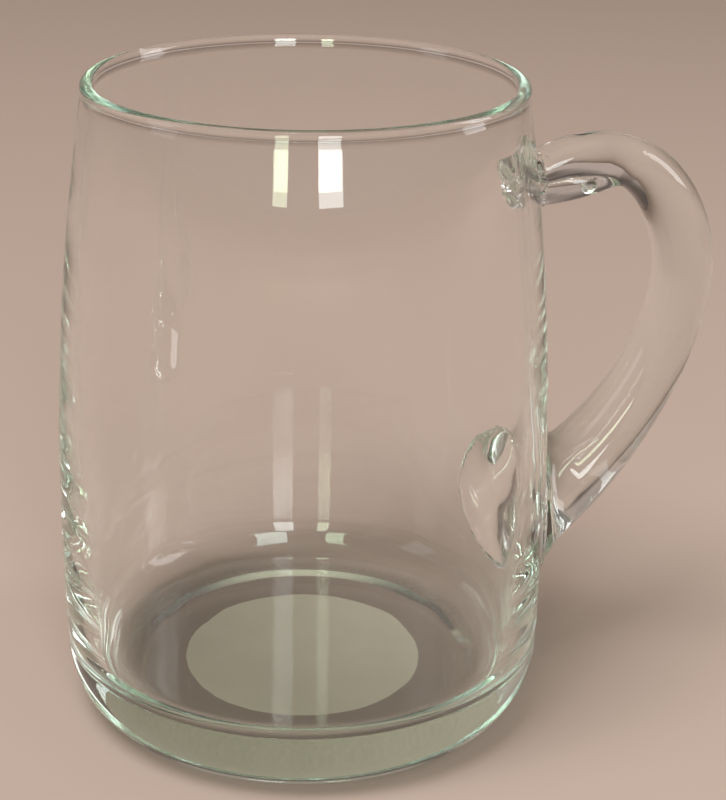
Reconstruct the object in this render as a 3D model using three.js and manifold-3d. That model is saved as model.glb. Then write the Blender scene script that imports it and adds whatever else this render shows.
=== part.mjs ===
// Glass beer mug: a bellied vessel with a thick base and a fire-polished lip, and a
// solid glass handle stuck on hot. Millimetres, +Z up. The origin is the middle of
// the flat underside, and the handle stands out towards +X.
import * as THREE from 'three';
import { mergeVertices } from 'three/addons/utils/BufferGeometryUtils.js';
import Module from 'manifold-3d';

// Vessel: outside
const mugHeight = 120;
const bellyRadius = 45.6;
const bellyHeight = 40;
const rimRadius = 39.4;
const lipProud = 0.2;
const heelDepth = 7.8;
const heelHeight = 12.9;

// Vessel: inside
const rimWall = 2.2;
const lowerWall = 5;
const baseThickness = 9.7;
const floorCornerRadius = 7;

// Handle: centre line, from the strap at the top, round the grip, to the pad
const strapBelowRim = 16.9;
const strapPull = 24.3;
const strapRise = 20.8;
const gripBelowStrap = 22.9;
const fingerGap = 21.7;
const gripPullUp = 8.5;
const gripPullDown = 25.3;
const padHeight = 30.9;
const padPull = 11.7;
const padSlope = 34;
const handleLean = 11;

// Handle: oval sections
const gripThickness = 11.5;
const gripWidth = 12;
const strapThickness = 5.9;
const strapWidth = 13.4;
const padThickness = 19;
const padWidth = 23;

// Handle: how late the sections change, as powers of the share of the way from the grip
const strapThinning = 1.9;
const strapWidening = 2;
const padSwelling = 2.3;

// Handle: radius of the hollow curve in which the pad spreads out, and the blunt edge
// where it stops short of the wall
const padFillet = 7.4;
const padEdge = 1.2;

// Handle: surplus end, folded back under the strap
const tailBelowStrap = 5.1;
const tailReach = 13.4;
const tailLevel = 6;
const tailLift = 3.4;
const tailThickness = 5.2;
const tailWidth = 9.8;
const tailTipWidth = 7.5;
const tailTipFlat = 0.05;

// Handle: gap left at the wall between the strap and the folded end
const notchBelowStrap = 2.5;
const notchRadius = 1.5;

// Clearance between the handle's two seats and the wall
const seatGap = 0.3;

// Fineness of the facets
const turns = 64;
const wallSteps = 12;
const arcSteps = 6;
const caneSteps = 80;
const caneSides = 32;
const tailSteps = 14;
const tailSides = 20;
const notchSides = 16;
const spreadPasses = 24;

const degrees = Math.PI / 180;
const lipRadius = (rimWall + lipProud) / 2;
const lipCentre = new THREE.Vector2(rimRadius + lipProud - lipRadius, mugHeight - lipRadius);
const lipTuck = Math.acos(1 - lipProud / lipRadius);
const wallTop = lipCentre.y - lipRadius * Math.sin(lipTuck);

// The wall outside is one arc, upright at the belly and passing through the rim.
const rimRise = wallTop - bellyHeight;
const rimDraw = bellyRadius - rimRadius;
const wallArcRadius = (rimRise ** 2 + rimDraw ** 2) / (2 * rimDraw);

function arcRadius(z) {
  return bellyRadius - wallArcRadius + Math.sqrt(wallArcRadius ** 2 - (z - bellyHeight) ** 2);
}

// Below heelHeight the wall rolls in to the underside along a quarter of an ellipse.
function outerRadius(z) {
  const down = THREE.MathUtils.clamp((heelHeight - z) / heelHeight, 0, 1);
  return arcRadius(z) - heelDepth * (1 - Math.sqrt(1 - down ** 2));
}

// The wall thickens from the rim down to the floor.
function innerRadius(z) {
  const depth = (lipCentre.y - z) / (lipCentre.y - baseThickness);
  return arcRadius(z) - rimWall - (lowerWall - rimWall) * depth ** 2;
}

function solidOf(wasm, geometry) {
  geometry.deleteAttribute('normal');
  geometry.deleteAttribute('uv');
  const merged = mergeVertices(geometry, 1e-4);
  const vertProperties = new Float32Array(merged.attributes.position.array);
  const triVerts = new Uint32Array(merged.index.array);
  return new wasm.Manifold(new wasm.Mesh({ numProp: 3, vertProperties, triVerts }));
}

function geometryOf(solid) {
  const { vertProperties, triVerts } = solid.getMesh();
  const geometry = new THREE.BufferGeometry();
  geometry.setAttribute('position', new THREE.BufferAttribute(vertProperties, 3));
  geometry.setIndex(new THREE.BufferAttribute(triVerts, 1));
  geometry.computeVertexNormals();
  return geometry;
}

// Turns a profile of (radius, height) points about the Z axis.
function revolve(profile) {
  return new THREE.LatheGeometry(profile, turns).rotateX(Math.PI / 2);
}

function heelPoints() {
  const points = [];
  for (let i = 0; i <= arcSteps; i += 1) {
    const z = heelHeight * (1 - Math.cos((i / arcSteps) * 90 * degrees));
    points.push(new THREE.Vector2(outerRadius(z), z));
  }
  return points;
}

function wallPoints(radiusAt, from, to) {
  const points = [];
  for (let i = 0; i <= wallSteps; i += 1) {
    const z = THREE.MathUtils.lerp(from, to, i / wallSteps);
    points.push(new THREE.Vector2(radiusAt(z), z));
  }
  return points;
}

// Points on a circle from one angle to another, in degrees from the +radius direction.
function arcPoints(centre, radius, from, to) {
  const points = [];
  for (let i = 0; i <= arcSteps; i += 1) {
    const angle = THREE.MathUtils.lerp(from, to, i / arcSteps) * degrees;
    points.push(new THREE.Vector2(centre.x + radius * Math.cos(angle), centre.y + radius * Math.sin(angle)));
  }
  return points;
}

// The arc in the floor's corner ends where it has the slope of the wall above it.
function floorCorner() {
  const height = baseThickness + floorCornerRadius;
  const slope = Math.atan(innerRadius(height + 0.5) - innerRadius(height - 0.5));
  const end = height - floorCornerRadius * Math.sin(slope);
  const centre = new THREE.Vector2(innerRadius(end) - floorCornerRadius * Math.cos(slope), height);
  return { end, points: arcPoints(centre, floorCornerRadius, -slope / degrees, -90) };
}

function bodyGeometry() {
  const corner = floorCorner();
  const profile = [
    new THREE.Vector2(0, 0),
    ...heelPoints(),
    ...wallPoints(outerRadius, heelHeight, wallTop).slice(1, -1),
    ...arcPoints(lipCentre, lipRadius, -lipTuck / degrees, 90),
    ...arcPoints(lipCentre, lipRadius, 90, 180).slice(1),
    ...wallPoints(innerRadius, lipCentre.y, corner.end).slice(1, -1),
    ...corner.points,
    new THREE.Vector2(0, baseThickness),
  ];
  return revolve(profile);
}

// The space the vessel takes up, with the seat's gap round it, to cut the handle's ends to.
function seatCutter() {
  const profile = [
    new THREE.Vector2(0, -seatGap),
    ...heelPoints(),
    ...wallPoints(outerRadius, heelHeight, wallTop).slice(1),
    new THREE.Vector2(rimRadius, mugHeight),
  ];
  for (const point of profile.slice(1)) {
    point.x += seatGap;
  }
  profile.push(new THREE.Vector2(0, mugHeight));
  return revolve(profile);
}

// A point on an oval ring. The ring's frame gives its centre and its direction across the
// thickness; width lies along Y.
function ringPoint({ centre, across, thickness, width }, angle, spread) {
  const point = centre.clone().addScaledVector(across, (thickness / 2 + spread) * Math.cos(angle));
  point.y += (width / 2 + spread) * Math.sin(angle);
  return point;
}

// How far a hollow curve of this radius stands out from the cane, at a point's distance
// from the wall.
function spreadAt(point, fillet) {
  const reach = Math.hypot(point.x, point.y) - outerRadius(point.z);
  const near = fillet - THREE.MathUtils.clamp(reach, padEdge, fillet);
  return fillet - Math.sqrt(fillet ** 2 - near ** 2);
}

// A closed cane: an oval ring of points at each step, with the ends filled in.
function loft(frameAt, steps, sides) {
  const positions = [];
  const index = [];
  for (let i = 0; i <= steps; i += 1) {
    const frame = frameAt(i / steps);
    for (let j = 0; j < sides; j += 1) {
      const angle = (j / sides) * 360 * degrees;
      let point = ringPoint(frame, angle, 0);
      for (let pass = 0; frame.fillet && pass < spreadPasses; pass += 1) {
        point = ringPoint(frame, angle, spreadAt(point, frame.fillet));
      }
      positions.push(...point.toArray());
    }
  }
  for (let i = 0; i < steps; i += 1) {
    for (let j = 0; j < sides; j += 1) {
      const a = i * sides + j;
      const b = i * sides + ((j + 1) % sides);
      index.push(a, a + sides, b, b, a + sides, b + sides);
    }
  }
  const last = steps * sides;
  for (let j = 1; j < sides - 1; j += 1) {
    index.push(0, j, j + 1, last, last + j + 1, last + j);
  }
  const geometry = new THREE.BufferGeometry();
  geometry.setAttribute('position', new THREE.Float32BufferAttribute(positions, 3));
  geometry.setIndex(index);
  return geometry;
}

// Centre line of the cane in the XZ plane. It starts and ends inside the wall, deep
// enough for the cut to reach the whole of each seat.
const strapHeight = mugHeight - strapBelowRim;
const gripHeight = strapHeight - gripBelowStrap;
const gripX = bellyRadius + fingerGap + gripThickness / 2;
const strapSeat = new THREE.Vector2(outerRadius(strapHeight), strapHeight);
const padSeat = new THREE.Vector2(outerRadius(padHeight), padHeight);
const grip = new THREE.Vector2(gripX, gripHeight);
const strapWay = new THREE.Vector2(Math.cos(strapRise * degrees), Math.sin(strapRise * degrees));
const padWay = new THREE.Vector2(Math.cos(padSlope * degrees), Math.sin(padSlope * degrees));

function caneLine() {
  const line = new THREE.CurvePath();
  const strapStart = strapSeat.clone().addScaledVector(strapWay, -strapThickness);
  const padEnd = padSeat.clone().addScaledVector(padWay, -padThickness);
  const strapHold = strapSeat.clone().addScaledVector(strapWay, strapPull);
  const padHold = padSeat.clone().addScaledVector(padWay, padPull);
  const above = new THREE.Vector2(grip.x, grip.y + gripPullUp);
  const below = new THREE.Vector2(grip.x, grip.y - gripPullDown);
  line.add(new THREE.LineCurve(strapStart, strapSeat));
  line.add(new THREE.CubicBezierCurve(strapSeat, strapHold, above, grip));
  line.add(new THREE.CubicBezierCurve(grip, below, padHold, padSeat));
  line.add(new THREE.LineCurve(padSeat, padEnd));
  return line;
}

// The strap sits a little to one side and the pad to the other, as hand work does.
function leanAt(z) {
  return handleLean * (0.5 - (z - padHeight) / (strapHeight - padHeight));
}

function caneFrame(line, lengths) {
  const [strapEnd, gripEnd, padEnd, total] = lengths;
  return (u) => {
    const at = u * total;
    const upper = THREE.MathUtils.clamp((gripEnd - at) / (gripEnd - strapEnd), 0, 1);
    const lower = THREE.MathUtils.clamp((at - gripEnd) / (padEnd - gripEnd), 0, 1);
    const point = line.getPointAt(u);
    const way = line.getTangentAt(u);
    const thickness = gripThickness
      + (strapThickness - gripThickness) * upper ** strapThinning
      + (padThickness - gripThickness) * lower ** padSwelling;
    const width = gripWidth
      + (strapWidth - gripWidth) * upper ** strapWidening
      + (padWidth - gripWidth) * lower ** padSwelling;
    return {
      centre: new THREE.Vector3(point.x, leanAt(point.y), point.y),
      across: new THREE.Vector3(-way.y, 0, way.x),
      thickness,
      width,
      fillet: lower > 0 ? padFillet : 0,
    };
  };
}

// The folded end leaves the wall under the strap and curls up into the strap's underside.
// Its rings lie closer together towards the tip, which is rounded off.
function tailFrame() {
  const height = strapHeight - tailBelowStrap;
  const wall = outerRadius(height);
  const start = new THREE.Vector2(wall - tailThickness, height);
  const hold = new THREE.Vector2(wall + tailLevel, height);
  const tip = new THREE.Vector2(wall + tailReach, height + tailLift);
  const line = new THREE.QuadraticBezierCurve(start, hold, tip);
  const length = line.getLength();
  return (step) => {
    const u = Math.sin(step * 90 * degrees);
    const point = line.getPointAt(u);
    const way = line.getTangentAt(u);
    const fromTip = tailTipFlat + (1 - u) * length;
    const inward = Math.max(0, 1 - fromTip / (tailThickness / 2));
    const round = Math.sqrt(1 - inward ** 2);
    return {
      centre: new THREE.Vector3(point.x, leanAt(point.y), point.y),
      across: new THREE.Vector3(-way.y, 0, way.x),
      thickness: tailThickness * round,
      width: THREE.MathUtils.lerp(tailWidth, tailTipWidth, u ** 2) * round,
    };
  };
}

// The gap follows the wall, so it is cut with a ring round the vessel.
function notchCutter() {
  const height = strapHeight - notchBelowStrap;
  const ring = new THREE.TorusGeometry(outerRadius(height) + seatGap, notchRadius, notchSides, turns);
  return ring.translate(0, 0, height);
}

function handleGeometry(wasm) {
  const line = caneLine();
  const cane = solidOf(wasm, loft(caneFrame(line, line.getCurveLengths()), caneSteps, caneSides));
  const tail = solidOf(wasm, loft(tailFrame(), tailSteps, tailSides));
  const vessel = solidOf(wasm, seatCutter());
  const notch = solidOf(wasm, notchCutter());
  return geometryOf(cane.add(tail).subtract(vessel).subtract(notch));
}

function glass(color) {
  return new THREE.MeshStandardMaterial({
    color,
    roughness: 0.02,
    metalness: 0,
    transparent: true,
    opacity: 0.35,
  });
}

function part(name, geometry, material) {
  const mesh = new THREE.Mesh(geometry, material);
  mesh.name = name;
  return mesh;
}

const wasm = await Module();
wasm.setup();

const mug = new THREE.Group();
mug.add(part('glass_body', bodyGeometry(), glass(0xe3ede6)));
mug.add(part('handle', handleGeometry(wasm), glass(0xe0ebe4)));

export default mug;
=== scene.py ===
"""Looks of the glass beer mug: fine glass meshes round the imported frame, floor, light and camera."""
import math

import bmesh
import bpy
import numpy as np
from mathutils import Matrix, Vector


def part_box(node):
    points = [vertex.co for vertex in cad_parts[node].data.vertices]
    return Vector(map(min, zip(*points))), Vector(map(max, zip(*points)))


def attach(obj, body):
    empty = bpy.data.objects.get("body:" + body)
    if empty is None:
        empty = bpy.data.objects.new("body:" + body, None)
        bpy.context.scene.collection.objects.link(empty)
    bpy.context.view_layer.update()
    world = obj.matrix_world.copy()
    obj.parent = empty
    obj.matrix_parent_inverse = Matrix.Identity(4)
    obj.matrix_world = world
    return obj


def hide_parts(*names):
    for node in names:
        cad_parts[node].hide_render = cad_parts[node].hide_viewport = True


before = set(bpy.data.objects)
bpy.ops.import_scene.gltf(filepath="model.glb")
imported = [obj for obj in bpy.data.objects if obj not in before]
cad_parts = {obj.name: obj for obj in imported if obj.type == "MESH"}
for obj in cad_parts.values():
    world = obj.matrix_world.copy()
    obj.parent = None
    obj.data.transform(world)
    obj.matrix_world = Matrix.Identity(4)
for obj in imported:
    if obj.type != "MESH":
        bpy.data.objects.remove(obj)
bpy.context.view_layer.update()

MM = 0.001

# Vessel, in millimetres
body_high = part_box("glass_body")[1]
MUG_HEIGHT = body_high.z / MM
BELLY_RADIUS = body_high.x / MM
BELLY_HEIGHT = 40.0
RIM_RADIUS = 39.4
LIP_PROUD = 0.2
HEEL_DEPTH = 7.8
HEEL_HEIGHT = 12.9
RIM_WALL = 2.2
LOWER_WALL = 5.0
BASE_THICKNESS = 9.7
FLOOR_CORNER_RADIUS = 7.0
RECESS_DEPTH = 0.6
RECESS_RADIUS = 30.2
RECESS_STEP = 4.6

# Handle, in millimetres: a section is its thickness and its width, and the thinning, widening and
# swelling are the powers by which it changes along the cane
STRAP_BELOW_RIM = 16.3
STRAP_PULL = 24.3
STRAP_RISE = math.radians(20.8)
GRIP_BELOW_STRAP = 23.5
FINGER_GAP = 21.69
GRIP_PULL_UP = 8.5
GRIP_PULL_DOWN = 23.1
PAD_HEIGHT = 32.7
PAD_PULL = 10.0
PAD_SLOPE = math.radians(20)
STRAP_LEAN = -5.0
STRAP_TURN = -2.2
PAD_LEAN = 4.4
GRIP_SECTION = (11.5, 12.0)
STRAP_SECTION = (5.9, 9.4)
PAD_SECTION = (17.9, 23.0)
STRAP_THINNING = 1.9
STRAP_WIDENING = 2.0
PAD_SWELLING = 2.3
PAD_FILLET = 8.0
PAD_EDGE = 0.7
STRAP_FILLET = 1.4
STRAP_EDGE = 0.5
TAIL_BELOW_STRAP = 5.1
TAIL_REACH = 13.4
TAIL_LEVEL = 6.0
TAIL_LIFT = 4.5
TAIL_THICKNESS = 5.2
TAIL_TIP_THICKNESS = 7.4
TAIL_WIDTH = 8.8
TAIL_TIP_WIDTH = 7.5
NOTCH_BELOW_STRAP = 2.5
NOTCH_RADIUS = 1.5
FOLD_FILLET = 1.2
NOTCH_FILLET = 0.5

# Bubble caught in the folded end: distance from the wall, rise, place along Y, half sizes and tilt
BUBBLE_OUT = 8.8
BUBBLE_RISE = 1.5
BUBBLE_ACROSS = -7.3
BUBBLE_HALF = (1.5, 2.4, 0.85)
BUBBLE_TILT = math.radians(20)

# Fineness of the meshes, passes of the fits, and small distances in millimetres
TURNS = 256
HEEL_POINTS = 28
WALL_POINTS = 90
LIP_POINTS = 28
CORNER_POINTS = 28
FLOOR_RINGS = 24
RECESS_POINTS = 30
STEP_POINTS = 17
RING_POINTS = 6
CANE_RINGS = (160, 48)
TAIL_RINGS = (40, 40)
BUBBLE_RINGS = 18
SPREAD_PASSES = 12
NEAREST_PASSES = 3
FIT_PASSES = 6
FIT_FROM = -2.0
FIT_BLEND = 1.5
SEAT_GAP = 0.01
VOXEL = 0.4
SLIVER = 0.003
ON_WALL = 0.005
ON_SEAT = 0.004

# Side and height above which the wall may carry the handle's seats, the distance from them that
# counts as far, and the seam value of the handle's points off the seats
SEAT_SIDE = 25.0
SEAT_LOWEST = 5.0
SEAM_FAR = 5.0
OFF_SEAT = -1.0

# Share by which a point is drawn to the middle of its neighbours, and least values to divide by
RELAX = 0.5
LEAST_SLOPE = 0.2
LEAST_BEND = 1e-3
LEAST_REACH = 1.0
TINY = 1e-6

# Unevenness of the blown wall: wave length up the wall, lobes round it, depth and phase
OUTER_WAVES = (
    (31.0, 1, 0.016, 0.4),
    (17.0, 2, 0.014, 2.1),
    (11.0, 1, 0.012, 4.0),
    (7.3, 3, 0.008, 1.2),
    (5.1, 2, 0.005, 5.3),
)
INNER_WAVES = (
    (37.0, 1, 0.030, 1.0),
    (19.0, 2, 0.024, 3.3),
    (12.0, 1, 0.018, 0.3),
    (8.1, 3, 0.010, 2.6),
)

# The waves fade out at the heel and the rim, weaken between two heights, and are weaker in front
WAVES_HEEL_FADE = 12.0
WAVES_RIM_FADE = 10.0
WAVES_LOW = 45.0
WAVES_HIGH = 75.0
WAVES_ABOVE = 0.35
WAVES_FRONT = 0.3

# Camera: where it stands and looks, from the photograph's frame of 726 by 800 pixels
PHOTO_WIDTH = 726
PHOTO_HEIGHT = 800
FOCAL_PIXELS = 2100.0
SENSOR_WIDTH = 36.0
NEAREST_SEEN = 0.01
CAMERA_AZIMUTH = math.radians(-13.25)
CAMERA_DISTANCE = 364.1 * MM
CAMERA_HEIGHT = 200.5 * MM
CAMERA_YAW = math.radians(1.72)
CAMERA_PITCH = math.radians(21.18)
CAMERA_ROLL = math.radians(0.98)

# Glass, and how much light it lets through to lit surfaces, face on and edge on
GLASS_IOR = 1.52
GLASS_ABSORPTION = (0.25, 0.75, 0.5, 1.0)
GLASS_DENSITY = 3.0
PASSING_FACE_ON = (0.8, 0.8, 0.79, 1)
PASSING_EDGE_ON = (0.3, 0.31, 0.29, 1)
PASSING_BLEND = 0.4

# Noise: its detail, and the middle window that is stretched over a range
NOISE_DETAIL = 4.0
NOISE_MIDDLE = (0.3, 0.7)

# Faint smears on the glass
SMEAR_SCALE = 70
SMEAR_NOISE = (0.58, 0.8)
SMEAR_ROUGHNESS = (0.0, 0.05)

# Frosted round on the underside: radius and height in millimetres, ragged edge in metres
FROST_RADIUS = 23.0
FROST_BELOW = 1.0
FROST_ROUGHNESS = 0.6
FROST_TONES = ((0.78, 0.71, 0.57, 1), (0.84, 0.76, 0.62, 1))
FROST_TONE_SCALE = 140
FROST_COVER = (0.76, 0.88)
FROST_COVER_SCALE = 1500
FROST_EDGE = (-0.0001, 0.0001)
FROST_EDGE_SCALE = 700

# Rubbed standing ring, up to a height in millimetres
WEAR_HEIGHT = 0.08
WEAR_ROUGHNESS = 0.4
WEAR_NOISE = (0.45, 0.75)
WEAR_COVER = (0.0, 0.25)
WEAR_SCALE = 1200

# Floor: radius in metres and drop below the mug in millimetres
FLOOR_COLOUR = (0.503, 0.392, 0.342, 1.0)
FLOOR_RADIUS = 6.0
FLOOR_SIDES = 96
FLOOR_DROP = 0.3

# Sky: colours by the sine of the height above the horizon, on the camera's side, on the far side,
# low in the middle of the far side and on the left of it
ZENITH = (0.74, 0.64, 0.49)
DARK_WALL = (0.07, 0.055, 0.05)
PALE_WALL = (0.40, 0.32, 0.28)
PALE_FOOT = (0.42, 0.33, 0.285)
SKY_FRONT = (
    (0.0, (0.17, 0.14, 0.125)),
    (0.3, (0.20, 0.18, 0.165)),
    (0.9, (0.26, 0.24, 0.21)),
    (1.0, ZENITH),
)
SKY_BACK = (
    (0.0, (0.06, 0.045, 0.04)),
    (0.9, DARK_WALL),
    (1.0, ZENITH),
)
SKY_BACKDROP = (
    (0.0, PALE_FOOT),
    (0.25, PALE_WALL),
    (0.42, DARK_WALL),
    (0.9, DARK_WALL),
    (1.0, ZENITH),
)
SKY_LEFT = (
    (0.0, PALE_FOOT),
    (0.82, PALE_WALL),
    (0.9, DARK_WALL),
    (0.92, DARK_WALL),
    (1.0, ZENITH),
)

# Where those skies give way to each other, as parts of a unit vector
BACK_FROM = (0.0, 0.5)
BACKDROP_HALF = (0.3, 0.5)
LEFT_FROM = (0.45, 0.6)

# Softboxes: degrees round from the camera's side, distance, height and height aimed at in metres,
# size, radiance, colour, and whether the glass mirrors it
SOFTBOXES = {
    "window_left": (-11.8, 1.2, 0.55, 0.55, (0.14, 0.9), 9.0, (0.84, 1, 0.72), True),
    "window_right": (11.8, 1.2, 0.55, 0.55, (0.24, 0.9), 9.5, (0.94, 1, 0.97), True),
    "overhead": (-40, 0.7, 1.6, 0.0, (0.8, 0.8), 10.9, (1, 0.98, 0.95), False),
    "side_left": (-76, 1.0, 0.45, 0.06, (0.3, 0.7), 1.2, (1, 1, 1), True),
    "side_right": (95, 1.0, 0.45, 0.06, (0.3, 0.7), 4.0, (1, 1, 1), True),
}

# Bounces that light may take through the glass
GLASS_BOUNCES = 64
MIRROR_BOUNCES = 48

# Profile of the wall, worked out from the sizes above
lip_radius = (RIM_WALL + LIP_PROUD) / 2
lip_x = RIM_RADIUS + LIP_PROUD - lip_radius
lip_z = MUG_HEIGHT - lip_radius
lip_tuck = math.acos(1 - LIP_PROUD / lip_radius)
wall_top = lip_z - lip_radius * math.sin(lip_tuck)
rim_draw = BELLY_RADIUS - RIM_RADIUS
wall_arc = ((wall_top - BELLY_HEIGHT) ** 2 + rim_draw ** 2) / (2 * rim_draw)


def arc_radius(z):
    return BELLY_RADIUS - wall_arc + np.sqrt(wall_arc ** 2 - (z - BELLY_HEIGHT) ** 2)


def outer_radius(z):
    z = np.asarray(z, float)
    down = np.clip((HEEL_HEIGHT - z) / HEEL_HEIGHT, 0, 1)
    return arc_radius(z) - HEEL_DEPTH * (1 - np.sqrt(1 - down ** 2))


def inner_radius(z):
    z = np.asarray(z, float)
    depth = (lip_z - z) / (lip_z - BASE_THICKNESS)
    return arc_radius(z) - RIM_WALL - (LOWER_WALL - RIM_WALL) * depth ** 2


def wall_reach(p):
    """How far points stand out from the vessel's wall."""
    return np.hypot(p[:, 0], p[:, 1]) - outer_radius(p[:, 2])


def arc_points(x, z, radius, start, end, count):
    angle = np.linspace(start, end, count)
    return np.stack([x + radius * np.cos(angle), z + radius * np.sin(angle)], 1)


def heel_points():
    z = HEEL_HEIGHT * (1 - np.cos(np.linspace(0, math.pi / 2, HEEL_POINTS)))
    return np.stack([outer_radius(z), z], 1)


def wall_points(radius_at, start, end):
    z = np.linspace(start, end, WALL_POINTS)
    return np.stack([radius_at(z), z], 1)


def floor_corner():
    """Height where the round corner leaves the wall, and the corner's points down to the floor."""
    height = BASE_THICKNESS + FLOOR_CORNER_RADIUS
    slope = math.atan(float(inner_radius(height + 0.5) - inner_radius(height - 0.5)))
    end = height - FLOOR_CORNER_RADIUS * math.sin(slope)
    x = float(inner_radius(end)) - FLOOR_CORNER_RADIUS * math.cos(slope)
    return end, arc_points(x, height, FLOOR_CORNER_RADIUS, -slope, -math.pi / 2, CORNER_POINTS)


def disc_points(radius, z):
    r = np.linspace(0, radius, FLOOR_RINGS + 1)[1:-1]
    return np.stack([r, np.full_like(r, z)], 1)


def outside_profile():
    return np.vstack([heel_points(), wall_points(outer_radius, HEEL_HEIGHT, wall_top)[1:]])


def underside_points(edge):
    """From the axis outwards: a shallow recess, its rounded step and the ring that the mug stands on."""
    flat = np.linspace(0, RECESS_RADIUS, RECESS_POINTS)[1:-1]
    step = np.linspace(0, 1, STEP_POINTS)
    ring = np.linspace(RECESS_RADIUS + RECESS_STEP, edge, RING_POINTS)[1:-1]
    r = np.concatenate([flat, RECESS_RADIUS + RECESS_STEP * step, ring])
    z = RECESS_DEPTH * 0.5 * (1 + np.cos(math.pi * np.clip((r - RECESS_RADIUS) / RECESS_STEP, 0, 1)))
    return np.stack([r, z], 1)


def vessel_profile():
    """Radius and height of the profile, from under the middle, round the lip, to the floor's middle."""
    end, corner = floor_corner()
    outside = outside_profile()
    return np.vstack([
        underside_points(outside[0, 0]),
        outside[:-1],
        arc_points(lip_x, lip_z, lip_radius, -lip_tuck, math.pi, LIP_POINTS),
        wall_points(inner_radius, lip_z, end)[1:-1],
        corner,
        disc_points(corner[-1, 0], BASE_THICKNESS)[::-1],
    ])


def mesh_object(name, points, faces):
    mesh = bpy.data.meshes.new(name)
    mesh.from_pydata((np.asarray(points) * MM).tolist(), [], faces)
    mesh.update()
    obj = bpy.data.objects.new(name, mesh)
    bpy.context.scene.collection.objects.link(obj)
    return obj


def revolve(name, profile, low, high):
    """A closed solid of revolution: rings of points with a point on the axis at each end."""
    angle = np.linspace(0, 2 * math.pi, TURNS, endpoint=False)
    rings = [np.stack([r * np.cos(angle), r * np.sin(angle), np.full(TURNS, z)], 1) for r, z in profile]
    points = np.vstack(rings + [[(0, 0, low), (0, 0, high)]])
    first, last = len(rings) * TURNS, len(rings) * TURNS + 1
    top = (len(rings) - 1) * TURNS
    faces = []
    for j in range(TURNS):
        k = (j + 1) % TURNS
        faces.append((first, k, j))
        faces.append((last, top + j, top + k))
        for i in range(len(rings) - 1):
            a, b = i * TURNS, (i + 1) * TURNS
            faces.append((a + j, a + k, b + k, b + j))
    return mesh_object(name, points, faces)


# Centre lines in the XZ plane, as chains of cubic curves
strap_height = MUG_HEIGHT - STRAP_BELOW_RIM
grip_height = strap_height - GRIP_BELOW_STRAP
strap_seat = np.array([float(outer_radius(strap_height)), strap_height])
pad_seat = np.array([float(outer_radius(PAD_HEIGHT)), PAD_HEIGHT])
grip = np.array([BELLY_RADIUS + FINGER_GAP + GRIP_SECTION[0] / 2, grip_height])
strap_way = np.array([math.cos(STRAP_RISE), math.sin(STRAP_RISE)])
pad_way = np.array([math.cos(PAD_SLOPE), math.sin(PAD_SLOPE)])


def straight(a, b):
    return np.array([a, a + (b - a) / 3, a + (b - a) * 2 / 3, b])


def cane_chain():
    return np.array([
        straight(strap_seat - strap_way * STRAP_SECTION[0], strap_seat),
        [strap_seat, strap_seat + strap_way * STRAP_PULL, grip + (0, GRIP_PULL_UP), grip],
        [grip, grip - (0, GRIP_PULL_DOWN), pad_seat + pad_way * PAD_PULL, pad_seat],
        straight(pad_seat, pad_seat - pad_way * PAD_SECTION[0]),
    ])


def tail_chain():
    height = strap_height - TAIL_BELOW_STRAP
    seat = np.array([float(outer_radius(height)), height])
    start = seat - (TAIL_THICKNESS, 0)
    hold = seat + (TAIL_LEVEL, 0)
    tip = seat + (TAIL_REACH, TAIL_LIFT)
    return np.array([[start, start + (hold - start) * 2 / 3, tip + (hold - tip) * 2 / 3, tip]])


def lean_at(z):
    """Sideways offset of the cane by height: an even lean, and a turn more over the strap."""
    lean = PAD_LEAN + (STRAP_LEAN - PAD_LEAN) * (z - PAD_HEIGHT) / (strap_height - PAD_HEIGHT)
    return lean + STRAP_TURN * np.clip((z - grip_height) / GRIP_BELOW_STRAP, 0, 1) ** 2


class Line:
    """A chain of cubic curves that can be asked for the nearest point to given points."""

    def __init__(self, chain, per_curve=200):
        self.chain = chain
        self.u = np.linspace(0, len(chain), len(chain) * per_curve + 1)
        self.points = self.at(self.u)[0]
        steps = np.linalg.norm(np.diff(self.points, axis=0), axis=1)
        self.lengths = np.concatenate([[0], np.cumsum(steps)])

    def at(self, u):
        k = np.clip(u.astype(int), 0, len(self.chain) - 1)
        t = (u - k)[:, None]
        a, b, c, d = (self.chain[k, i] for i in range(4))
        s = 1 - t
        point = s ** 3 * a + 3 * s * s * t * b + 3 * s * t * t * c + t ** 3 * d
        first = 3 * s * s * (b - a) + 6 * s * t * (c - b) + 3 * t * t * (d - c)
        second = 6 * s * (c - 2 * b + a) + 6 * t * (d - 2 * c + b)
        return point, first, second

    def length_at(self, u):
        return np.interp(u, self.u, self.lengths)

    def start(self, xz, batch=2000):
        """Curve value of the nearest sample to each row of xz."""
        u = np.empty(len(xz))
        for i in range(0, len(xz), batch):
            part = xz[i:i + batch]
            gap = (part[:, None, 0] - self.points[None, :, 0]) ** 2
            gap += (part[:, None, 1] - self.points[None, :, 1]) ** 2
            u[i:i + batch] = self.u[np.argmin(gap, 1)]
        return u

    def nearest(self, xz, u):
        """Curve value, height, signed distance across and overrun past the ends, for each row of xz."""
        for _ in range(NEAREST_PASSES):
            point, first, second = self.at(u)
            off = point - xz
            slope = (off * first).sum(1)
            bend = (first ** 2).sum(1) + (off * second).sum(1)
            u = np.clip(u - slope / np.maximum(bend, LEAST_BEND), 0, len(self.chain))
        point, first, _ = self.at(u)
        way = first / np.linalg.norm(first, axis=1)[:, None]
        off = xz - point
        across = off[:, 1] * way[:, 0] - off[:, 0] * way[:, 1]
        return u, point[:, 1], across, (off * way).sum(1)


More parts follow.
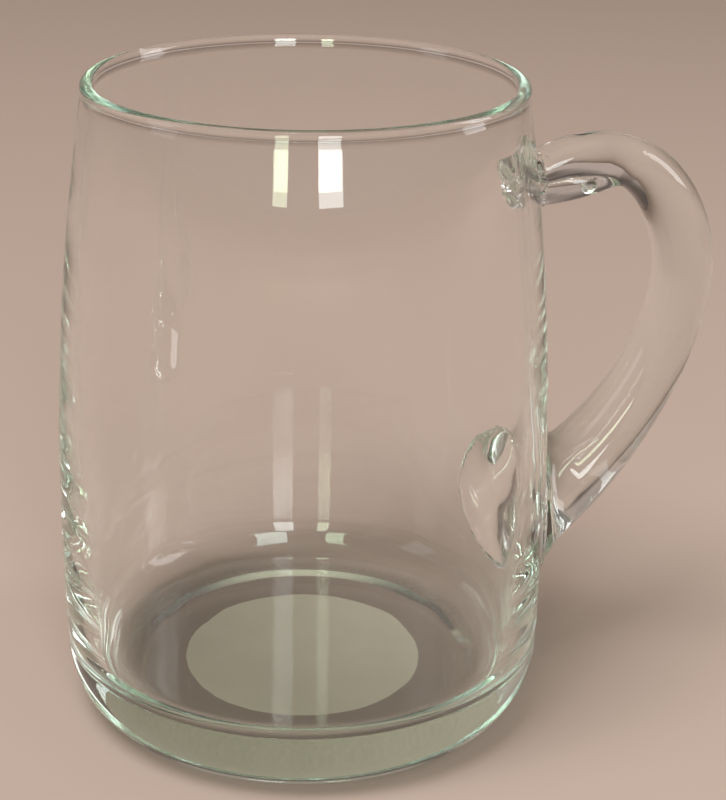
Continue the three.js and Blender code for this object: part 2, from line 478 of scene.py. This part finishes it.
def oval_distance(n, y, a, b, over=0.0):
    """About the distance from an oval section's edge, below zero inside it."""
    q = (n / a) ** 2 + (y / b) ** 2 + (over / a) ** 2
    g = (n / a ** 2) ** 2 + (y / b ** 2) ** 2 + (over / a ** 2) ** 2
    size = np.sqrt((q + TINY) / (g + TINY / (a * b)))
    return (np.sqrt(q) - 1) * size


def smooth_union(f, g, width):
    h = np.clip(0.5 + 0.5 * (g - f) / width, 0, 1)
    return g + (f - g) * h - width * h * (1 - h)


def hollow_curve(p, radius, edge):
    """How far a hollow curve of this radius stands out, by a point's distance from the wall."""
    near = radius - np.clip(wall_reach(p), edge, radius)
    return radius - np.sqrt(radius ** 2 - near ** 2)


def tail_section(share):
    thickness = TAIL_THICKNESS + (TAIL_TIP_THICKNESS - TAIL_THICKNESS) * share ** 2
    width = TAIL_WIDTH + (TAIL_TIP_WIDTH - TAIL_WIDTH) * share ** 2
    return thickness / 2, width / 2


class Handle:
    """The handle as a distance field: the cane and its folded end, before the wall cuts them."""

    def __init__(self):
        self.cane = Line(cane_chain())
        self.tail = Line(tail_chain())
        marks = self.cane.length_at(np.array([1.0, 2.0, 3.0]))
        self.strap_end, self.grip_end, self.pad_end = marks

    def cane_section(self, u):
        s = self.cane.length_at(u)
        upper = np.clip((self.grip_end - s) / (self.grip_end - self.strap_end), 0, 1)
        lower = np.clip((s - self.grip_end) / (self.pad_end - self.grip_end), 0, 1)
        swell = lower ** PAD_SWELLING
        thickness = GRIP_SECTION[0] + (STRAP_SECTION[0] - GRIP_SECTION[0]) * upper ** STRAP_THINNING
        width = GRIP_SECTION[1] + (STRAP_SECTION[1] - GRIP_SECTION[1]) * upper ** STRAP_WIDENING
        thickness = thickness + (PAD_SECTION[0] - GRIP_SECTION[0]) * swell
        width = width + (PAD_SECTION[1] - GRIP_SECTION[1]) * swell
        return thickness / 2, width / 2

    def spread(self, p, u):
        """How far the cane's two ends spread out on the wall."""
        on_pad = self.cane.length_at(u) > self.grip_end
        pad = hollow_curve(p, PAD_FILLET, PAD_EDGE)
        strap = hollow_curve(p, STRAP_FILLET, STRAP_EDGE)
        return np.where(on_pad, pad, strap)

    def starts(self, p):
        return self.cane.start(p[:, [0, 2]]), self.tail.start(p[:, [0, 2]])

    def cane_field(self, p, start, end_room=0.01):
        u, height, across, over = self.cane.nearest(p[:, [0, 2]], start)
        a, b = self.cane_section(u)
        spread = self.spread(p, u)
        across_field = oval_distance(across, p[:, 1] - lean_at(height), a + spread, b + spread)
        return np.maximum(across_field, np.abs(over) - end_room)

    def tail_field(self, p, start):
        u, height, across, over = self.tail.nearest(p[:, [0, 2]], start)
        share = self.tail.length_at(u) / self.tail.lengths[-1]
        a, b = tail_section(share)
        spread = hollow_curve(p, STRAP_FILLET, STRAP_EDGE)
        return oval_distance(across, p[:, 1] - lean_at(height), a + spread, b + spread, over)

    def notch_field(self, p):
        """The gap left along the wall between the strap and the folded end, as a round hole."""
        height = strap_height - NOTCH_BELOW_STRAP
        return np.hypot(wall_reach(p), p[:, 2] - height) - NOTCH_RADIUS

    def field(self, p, starts=None):
        cane_start, tail_start = starts or self.starts(p)
        cane = self.cane_field(p, cane_start)
        folded = smooth_union(cane, self.tail_field(p, tail_start), FOLD_FILLET)
        return -smooth_union(-folded, self.notch_field(p), NOTCH_FILLET)

    def slope(self, p, starts, step=0.02):
        rows = []
        for axis in np.eye(3) * step:
            rows.append((self.field(p + axis, starts) - self.field(p - axis, starts)) / (2 * step))
        return np.stack(rows, 1)


def ring_loft(line, section, rings, spread=None):
    """Points and faces of a rough closed cane along a line, to be remeshed."""
    steps, sides = rings
    u = np.linspace(0, len(line.chain), steps + 1)
    point, first, _ = line.at(u)
    way = first / np.linalg.norm(first, axis=1)[:, None]
    a, b = section(u)
    angle = np.linspace(0, 2 * math.pi, sides, endpoint=False)
    extra = np.zeros((steps + 1, sides))
    for _ in range(SPREAD_PASSES if spread else 1):
        across = (a[:, None] + extra) * np.cos(angle)
        x = point[:, 0, None] - way[:, 1, None] * across
        z = point[:, 1, None] + way[:, 0, None] * across
        y = lean_at(point[:, 1])[:, None] + (b[:, None] + extra) * np.sin(angle)
        points = np.stack([x, y, z], 2).reshape(-1, 3)
        if spread:
            extra = spread(points, np.repeat(u, sides)).reshape(extra.shape)
    faces = []
    for i in range(steps):
        for j in range(sides):
            k = (j + 1) % sides
            faces.append((i * sides + j, (i + 1) * sides + j, (i + 1) * sides + k, i * sides + k))
    faces.append(tuple(range(sides)))
    faces.append(tuple(reversed(range(steps * sides, (steps + 1) * sides))))
    return points, faces


def bubble_shell():
    """The bubble's skin. Its faces look into the bubble, because the glass lies outside it."""
    height = strap_height - TAIL_BELOW_STRAP + BUBBLE_RISE
    centre = np.array([float(outer_radius(height)) + BUBBLE_OUT, BUBBLE_ACROSS, height])
    sides = 2 * BUBBLE_RINGS
    rise = np.linspace(-math.pi / 2, math.pi / 2, BUBBLE_RINGS + 1)[1:-1]
    turn = np.linspace(0, 2 * math.pi, sides, endpoint=False)
    x = BUBBLE_HALF[0] * np.outer(np.cos(rise), np.cos(turn)).ravel()
    y = BUBBLE_HALF[1] * np.outer(np.cos(rise), np.sin(turn)).ravel()
    z = BUBBLE_HALF[2] * np.repeat(np.sin(rise), sides)
    poles = [(0, 0, -BUBBLE_HALF[2]), (0, 0, BUBBLE_HALF[2])]
    x, y, z = np.vstack([np.stack([x, y, z], 1), poles]).T
    tilted = np.stack([
        x * math.cos(BUBBLE_TILT) - z * math.sin(BUBBLE_TILT),
        y,
        x * math.sin(BUBBLE_TILT) + z * math.cos(BUBBLE_TILT),
    ], 1)
    rings = BUBBLE_RINGS - 1
    faces = []
    for j in range(sides):
        k = (j + 1) % sides
        faces.append((j, k, rings * sides))
        faces.append(((rings - 1) * sides + k, (rings - 1) * sides + j, rings * sides + 1))
        for i in range(rings - 1):
            a, b = i * sides, (i + 1) * sides
            faces.append((a + k, a + j, b + j, b + k))
    return centre + tilted, faces


def coordinates(mesh):
    co = np.empty(len(mesh.vertices) * 3)
    mesh.vertices.foreach_get("co", co)
    return co.reshape(-1, 3) / MM


def set_coordinates(mesh, points):
    mesh.vertices.foreach_set("co", (points * MM).ravel())
    mesh.update()


def apply_boolean(obj, other, operation):
    modifier = obj.modifiers.new(operation, "BOOLEAN")
    modifier.object = other
    modifier.operation = operation
    modifier.solver = "EXACT"
    evaluated = obj.evaluated_get(bpy.context.evaluated_depsgraph_get())
    mesh = bpy.data.meshes.new_from_object(evaluated)
    obj.modifiers.clear()
    obj.data = mesh
    bpy.data.objects.remove(other, do_unlink=True)


def even_skin(obj):
    """Replaces the mesh by an even skin of small squares."""
    bpy.context.view_layer.objects.active = obj
    obj.data.remesh_voxel_size = VOXEL * MM
    obj.data.use_remesh_fix_poles = False
    with bpy.context.temp_override(object=obj, active_object=obj, selected_objects=[obj]):
        bpy.ops.object.voxel_remesh()


def fit_to_field(mesh, shape):
    """Evens the skin out and draws it onto the field's zero surface, several times over.

    The ends inside the wall are cut off later, so they are only evened out.
    """
    points = coordinates(mesh)
    outside = np.clip((wall_reach(points) - FIT_FROM) / FIT_BLEND, 0, 1)
    edges = np.array([e.vertices[:] for e in mesh.edges])
    count = np.bincount(edges.ravel(), minlength=len(points))[:, None]
    starts = shape.starts(points)
    for _ in range(FIT_PASSES):
        total = np.zeros_like(points)
        np.add.at(total, edges[:, 0], points[edges[:, 1]])
        np.add.at(total, edges[:, 1], points[edges[:, 0]])
        points = points + RELAX * (total / count - points)
        slope = shape.slope(points, starts)
        value = shape.field(points, starts)
        step = outside * value / np.maximum((slope ** 2).sum(1), LEAST_SLOPE)
        points = points - slope * step[:, None]
    set_coordinates(mesh, points)


def drop_slivers(mesh):
    """Joins points that a cut left on each other, and drops pairs of faces lying back to back."""
    work = bmesh.new()
    work.from_mesh(mesh)
    bmesh.ops.remove_doubles(work, verts=work.verts, dist=SLIVER * MM)
    bmesh.ops.dissolve_degenerate(work, edges=work.edges, dist=SLIVER * MM)
    bmesh.ops.triangulate(work, faces=work.faces)
    work.verts.index_update()
    first = {}
    doubled = []
    for face in work.faces:
        corners = frozenset(vertex.index for vertex in face.verts)
        if corners in first:
            doubled += [first[corners], face]
        first[corners] = face
    bmesh.ops.delete(work, geom=doubled, context="FACES")
    work.to_mesh(mesh)
    work.free()
    mesh.update()


def add_shell(obj, points, faces):
    old = coordinates(obj.data)
    old_faces = [tuple(p.vertices) for p in obj.data.polygons]
    moved = [tuple(v + len(old) for v in face) for face in faces]
    mesh = bpy.data.meshes.new(obj.name)
    mesh.from_pydata((np.vstack([old, points]) * MM).tolist(), [], old_faces + moved)
    mesh.update()
    obj.data = mesh


def finish_mesh(obj, seam):
    """Smooth shading, and on each point how deep it lies inside the fused seats."""
    attribute = obj.data.attributes.new("seam", "FLOAT", "POINT")
    attribute.data.foreach_set("value", seam)
    obj.data.polygons.foreach_set("use_smooth", [True] * len(obj.data.polygons))


def waves(z, angle, table):
    """Sum of shallow waves in millimetres."""
    total = np.zeros_like(z)
    for length, lobes, depth, phase in table:
        total += depth * np.sin(2 * math.pi * z / length + lobes * angle + phase)
    return total


def with_waves(points, seam):
    """The blown wall's unevenness: the outside only dips in, and lies true under the handle."""
    reach = np.hypot(points[:, 0], points[:, 1])
    angle = np.arctan2(points[:, 1], points[:, 0])
    z = points[:, 2]
    rise = np.clip((z - WAVES_LOW) / (WAVES_HIGH - WAVES_LOW), 0, 1)
    above_heel = np.clip((z - HEEL_HEIGHT) / WAVES_HEEL_FADE, 0, 1)
    below_rim = np.clip((wall_top - z) / WAVES_RIM_FADE, 0, 1)
    front = np.clip(np.cos(angle - CAMERA_AZIMUTH + math.pi / 2), 0, 1)
    calm = above_heel * (1 + (WAVES_ABOVE - 1) * rise) * below_rim
    calm = calm * (1 + (WAVES_FRONT - 1) * front ** 2)
    outside = np.abs(wall_reach(points)) < ON_WALL
    inside = np.abs(reach - inner_radius(z)) < ON_WALL
    dip = sum(row[2] for row in OUTER_WAVES) - waves(z, angle, OUTER_WAVES)
    change = np.where(outside, -dip * calm * np.clip(-seam / SEAM_FAR, 0, 1), 0.0)
    change = change + np.where(inside, waves(z, angle, INNER_WAVES) * calm, 0.0)
    scale = 1 + change / np.maximum(reach, LEAST_REACH)
    return points * np.stack([scale, scale, np.ones_like(scale)], 1)


def make_vessel(shape):
    vessel = revolve("vessel_glass", vessel_profile(), RECESS_DEPTH, BASE_THICKNESS)
    points = coordinates(vessel.data)
    on_wall = np.abs(wall_reach(points)) < ON_WALL
    near = on_wall & (points[:, 0] > SEAT_SIDE) & (points[:, 2] > SEAT_LOWEST)
    seam = np.full(len(points), -SEAM_FAR)
    seam[near] = -shape.field(points[near])
    set_coordinates(vessel.data, with_waves(points, seam))
    finish_mesh(vessel, seam)
    return vessel


def make_handle(shape):
    """Cane and folded end as one skin on the distance field, cut to the vessel's wall, with the bubble."""
    cane = ring_loft(shape.cane, shape.cane_section, CANE_RINGS, shape.spread)
    handle = mesh_object("handle_glass", *cane)
    tail = mesh_object("tail_rough", *ring_loft(shape.tail, tail_section, TAIL_RINGS))
    apply_boolean(handle, tail, "UNION")
    even_skin(handle)
    fit_to_field(handle.data, shape)
    cutter = revolve("wall_cutter", outside_profile() + (SEAT_GAP, 0), 0.0, wall_top)
    apply_boolean(handle, cutter, "DIFFERENCE")
    drop_slivers(handle.data)
    add_shell(handle, *bubble_shell())
    points = coordinates(handle.data)
    on_seat = np.abs(wall_reach(points) - SEAT_GAP) < ON_SEAT
    seam = np.full(len(points), OFF_SEAT)
    seam[on_seat] = np.maximum(-shape.field(points[on_seat]), 0.0)
    finish_mesh(handle, seam)
    return handle


def put(tree, socket, value):
    """Links an output to a socket, or writes a constant on it."""
    if isinstance(value, bpy.types.NodeSocket):
        tree.links.new(value, socket)
    else:
        socket.default_value = value


def math_node(tree, operation, *values):
    node = tree.nodes.new("ShaderNodeMath")
    node.operation = operation
    for socket, value in zip(node.inputs, values):
        put(tree, socket, value)
    return node.outputs[0]


def map_range(tree, value, window, values=(0.0, 1.0), interpolation="LINEAR"):
    node = tree.nodes.new("ShaderNodeMapRange")
    node.interpolation_type = interpolation
    put(tree, node.inputs["Value"], value)
    node.inputs["From Min"].default_value = window[0]
    node.inputs["From Max"].default_value = window[1]
    node.inputs["To Min"].default_value = values[0]
    node.inputs["To Max"].default_value = values[1]
    return node.outputs[0]


def mix_colour(tree, factor, first, second):
    node = tree.nodes.new("ShaderNodeMix")
    node.data_type = "RGBA"
    put(tree, node.inputs[0], factor)
    put(tree, node.inputs[6], first)
    put(tree, node.inputs[7], second)
    return node.outputs[2]


def mix_shader(tree, factor, first, second):
    node = tree.nodes.new("ShaderNodeMixShader")
    for socket, value in zip(node.inputs, (factor, first, second)):
        put(tree, socket, value)
    return node.outputs[0]


def noise_range(tree, scale, window, values):
    """A noise in object space whose middle window is stretched over a range of values."""
    place = tree.nodes.new("ShaderNodeTexCoord")
    noise = tree.nodes.new("ShaderNodeTexNoise")
    noise.inputs["Scale"].default_value = scale
    noise.inputs["Detail"].default_value = NOISE_DETAIL
    put(tree, noise.inputs["Vector"], place.outputs["Object"])
    return map_range(tree, noise.outputs[0], window, values)


def new_material(name):
    material = bpy.data.materials.new(name)
    material.use_nodes = True
    material.node_tree.nodes.clear()
    return material, material.node_tree


def clear_glass(tree):
    glass = tree.nodes.new("ShaderNodeBsdfPrincipled")
    glass.inputs["Base Color"].default_value = (1, 1, 1, 1)
    glass.inputs["IOR"].default_value = GLASS_IOR
    glass.inputs["Transmission Weight"].default_value = 1.0
    put(tree, glass.inputs["Roughness"], noise_range(tree, SMEAR_SCALE, SMEAR_NOISE, SMEAR_ROUGHNESS))
    return glass.outputs[0]


def rough_glass(tree, roughness):
    glass = tree.nodes.new("ShaderNodeBsdfGlass")
    glass.inputs["Roughness"].default_value = roughness
    glass.inputs["IOR"].default_value = GLASS_IOR
    return glass.outputs[0]


def frost(tree):
    """Chalky glass whose tone and cover vary."""
    tone = noise_range(tree, FROST_TONE_SCALE, NOISE_MIDDLE, (0, 1))
    chalk = tree.nodes.new("ShaderNodeBsdfDiffuse")
    put(tree, chalk.inputs["Color"], mix_colour(tree, tone, *FROST_TONES))
    cover = noise_range(tree, FROST_COVER_SCALE, NOISE_MIDDLE, FROST_COVER)
    return mix_shader(tree, cover, rough_glass(tree, FROST_ROUGHNESS), chalk.outputs[0])


def underside_marks(tree, surface):
    """Lays the frosted round and the rubbed standing ring on the underside."""
    geometry = tree.nodes.new("ShaderNodeNewGeometry")
    split = tree.nodes.new("ShaderNodeSeparateXYZ")
    put(tree, split.inputs[0], geometry.outputs["Position"])
    distance = tree.nodes.new("ShaderNodeVectorMath")
    distance.operation = "LENGTH"
    put(tree, distance.inputs[0], geometry.outputs["Position"])
    edge = noise_range(tree, FROST_EDGE_SCALE, NOISE_MIDDLE, FROST_EDGE)
    ragged = math_node(tree, "ADD", distance.outputs["Value"], edge)
    inside = math_node(tree, "LESS_THAN", ragged, FROST_RADIUS * MM)
    below = math_node(tree, "LESS_THAN", split.outputs["Z"], FROST_BELOW * MM)
    surface = mix_shader(tree, math_node(tree, "MULTIPLY", inside, below), surface, frost(tree))
    outer = math_node(tree, "GREATER_THAN", distance.outputs["Value"], RECESS_RADIUS * MM)
    flat = math_node(tree, "LESS_THAN", split.outputs["Z"], WEAR_HEIGHT * MM)
    ring = math_node(tree, "MULTIPLY", outer, flat)
    rubbed = math_node(tree, "MULTIPLY", ring, noise_range(tree, WEAR_SCALE, WEAR_NOISE, WEAR_COVER))
    return mix_shader(tree, rubbed, surface, rough_glass(tree, WEAR_ROUGHNESS))


def fused_seam(tree, surface):
    """Makes the skin clear inside the seats, so that wall and handle are one glass there."""
    seam = tree.nodes.new("ShaderNodeAttribute")
    seam.attribute_name = "seam"
    fused = math_node(tree, "GREATER_THAN", seam.outputs["Fac"], 0.0)
    clear = tree.nodes.new("ShaderNodeBsdfTransparent")
    return mix_shader(tree, fused, surface, clear.outputs[0])


def passing_light(tree, surface):
    """Lets light through to the surfaces behind, less of it where the glass is seen edge on."""
    path = tree.nodes.new("ShaderNodeLightPath")
    facing = tree.nodes.new("ShaderNodeLayerWeight")
    facing.inputs["Blend"].default_value = PASSING_BLEND
    passing = tree.nodes.new("ShaderNodeBsdfTransparent")
    tint = mix_colour(tree, facing.outputs["Facing"], PASSING_FACE_ON, PASSING_EDGE_ON)
    put(tree, passing.inputs["Color"], tint)
    for ray in ("Is Diffuse Ray", "Is Shadow Ray"):
        surface = mix_shader(tree, path.outputs[ray], surface, passing.outputs[0])
    return surface


def glass_material(name, marked):
    material, tree = new_material(name)
    surface = clear_glass(tree)
    if marked:
        surface = underside_marks(tree, surface)
    surface = passing_light(tree, fused_seam(tree, surface))
    volume = tree.nodes.new("ShaderNodeVolumeAbsorption")
    volume.inputs["Color"].default_value = GLASS_ABSORPTION
    volume.inputs["Density"].default_value = GLASS_DENSITY
    out = tree.nodes.new("ShaderNodeOutputMaterial")
    put(tree, out.inputs["Surface"], surface)
    put(tree, out.inputs["Volume"], volume.outputs[0])
    return material


def set_material(obj, material):
    obj.data.materials.clear()
    obj.data.materials.append(material)


def make_floor():
    bpy.ops.mesh.primitive_circle_add(
        vertices=FLOOR_SIDES, radius=FLOOR_RADIUS, fill_type="NGON", location=(0, 0, -FLOOR_DROP * MM))
    floor = bpy.context.object
    floor.name = "floor"
    material, tree = new_material("floor")
    paint = tree.nodes.new("ShaderNodeBsdfDiffuse")
    paint.inputs["Color"].default_value = FLOOR_COLOUR
    out = tree.nodes.new("ShaderNodeOutputMaterial")
    put(tree, out.inputs["Surface"], paint.outputs[0])
    set_material(floor, material)


def sky_ramp(tree, height, stops):
    ramp = tree.nodes.new("ShaderNodeValToRGB")
    put(tree, ramp.inputs[0], height)
    elements = ramp.color_ramp.elements
    while len(elements) < len(stops):
        elements.new(0.5)
    for element, (position, colour) in zip(elements, stops):
        element.position = position
        element.color = (*colour, 1)
    return ramp.outputs[0]


def make_world():
    """A sky by height, with the camera's azimuth as its front."""
    world = bpy.data.worlds.new("studio")
    world.use_nodes = True
    tree = world.node_tree
    place = tree.nodes.new("ShaderNodeTexCoord")
    turn = tree.nodes.new("ShaderNodeVectorRotate")
    turn.rotation_type = "Z_AXIS"
    turn.inputs["Angle"].default_value = -CAMERA_AZIMUTH
    put(tree, turn.inputs["Vector"], place.outputs["Generated"])
    split = tree.nodes.new("ShaderNodeSeparateXYZ")
    put(tree, split.inputs[0], turn.outputs[0])
    x, y, z = split.outputs
    back = map_range(tree, y, BACK_FROM, interpolation="SMOOTHSTEP")
    sideways = math_node(tree, "ABSOLUTE", x)
    middle = map_range(tree, sideways, BACKDROP_HALF, (1.0, 0.0), "SMOOTHSTEP")
    leftwards = math_node(tree, "MULTIPLY", x, -1.0)
    left = map_range(tree, leftwards, LEFT_FROM, interpolation="SMOOTHSTEP")
    colour = mix_colour(tree, back, sky_ramp(tree, z, SKY_FRONT), sky_ramp(tree, z, SKY_BACK))
    for part, stops in ((middle, SKY_BACKDROP), (left, SKY_LEFT)):
        share = math_node(tree, "MULTIPLY", part, back)
        colour = mix_colour(tree, share, colour, sky_ramp(tree, z, stops))
    background = tree.nodes["Background"]
    put(tree, background.inputs["Color"], colour)
    background.inputs["Strength"].default_value = 1.0
    bpy.context.scene.world = world


def softbox(name, azimuth, distance, height, aim, size, radiance, colour, mirrored):
    light = bpy.data.lights.new(name, "AREA")
    light.shape = "RECTANGLE"
    light.size, light.size_y = size
    light.color = colour
    light.energy = radiance * math.pi * size[0] * size[1]
    angle = CAMERA_AZIMUTH + math.radians(azimuth)
    place = Vector((math.sin(angle) * distance, -math.cos(angle) * distance, height))
    obj = bpy.data.objects.new(name, light)
    obj.location = place
    obj.rotation_euler = (place - Vector((0, 0, aim))).to_track_quat("Z", "Y").to_euler()
    obj.visible_glossy = mirrored
    obj.visible_transmission = mirrored
    bpy.context.scene.collection.objects.link(obj)


def make_camera():
    camera = bpy.data.cameras.new("camera")
    camera.sensor_width = SENSOR_WIDTH
    camera.lens = FOCAL_PIXELS * SENSOR_WIDTH / max(PHOTO_WIDTH, PHOTO_HEIGHT)
    camera.clip_start = NEAREST_SEEN
    obj = bpy.data.objects.new("camera", camera)
    bpy.context.scene.collection.objects.link(obj)
    forward = Vector((
        math.sin(CAMERA_YAW) * math.cos(CAMERA_PITCH),
        math.cos(CAMERA_YAW) * math.cos(CAMERA_PITCH),
        -math.sin(CAMERA_PITCH),
    ))
    right = Vector((math.cos(CAMERA_YAW), -math.sin(CAMERA_YAW), 0))
    up = right.cross(forward)
    roll_right = right * math.cos(CAMERA_ROLL) + up * math.sin(CAMERA_ROLL)
    roll_up = up * math.cos(CAMERA_ROLL) - right * math.sin(CAMERA_ROLL)
    turn = Matrix((roll_right, roll_up, -forward)).transposed().to_4x4()
    place = Matrix.Translation((0, -CAMERA_DISTANCE, CAMERA_HEIGHT))
    obj.matrix_world = Matrix.Rotation(CAMERA_AZIMUTH, 4, "Z") @ place @ turn
    bpy.context.scene.camera = obj


handle_shape = Handle()
vessel = make_vessel(handle_shape)
handle = make_handle(handle_shape)
set_material(vessel, glass_material("vessel_glass", True))
set_material(handle, glass_material("handle_glass", False))

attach(vessel, "root")
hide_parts("glass_body")
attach(handle, "root")
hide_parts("handle")

make_floor()
make_world()
for lamp, row in SOFTBOXES.items():
    softbox(lamp, *row)
make_camera()

scene = bpy.context.scene
scene.view_settings.view_transform = "Standard"
scene.cycles.max_bounces = GLASS_BOUNCES
scene.cycles.transmission_bounces = GLASS_BOUNCES
scene.cycles.glossy_bounces = MIRROR_BOUNCES
scene.cycles.transparent_max_bounces = MIRROR_BOUNCES
scene.cycles.caustics_reflective = False
scene.cycles.caustics_refractive = False
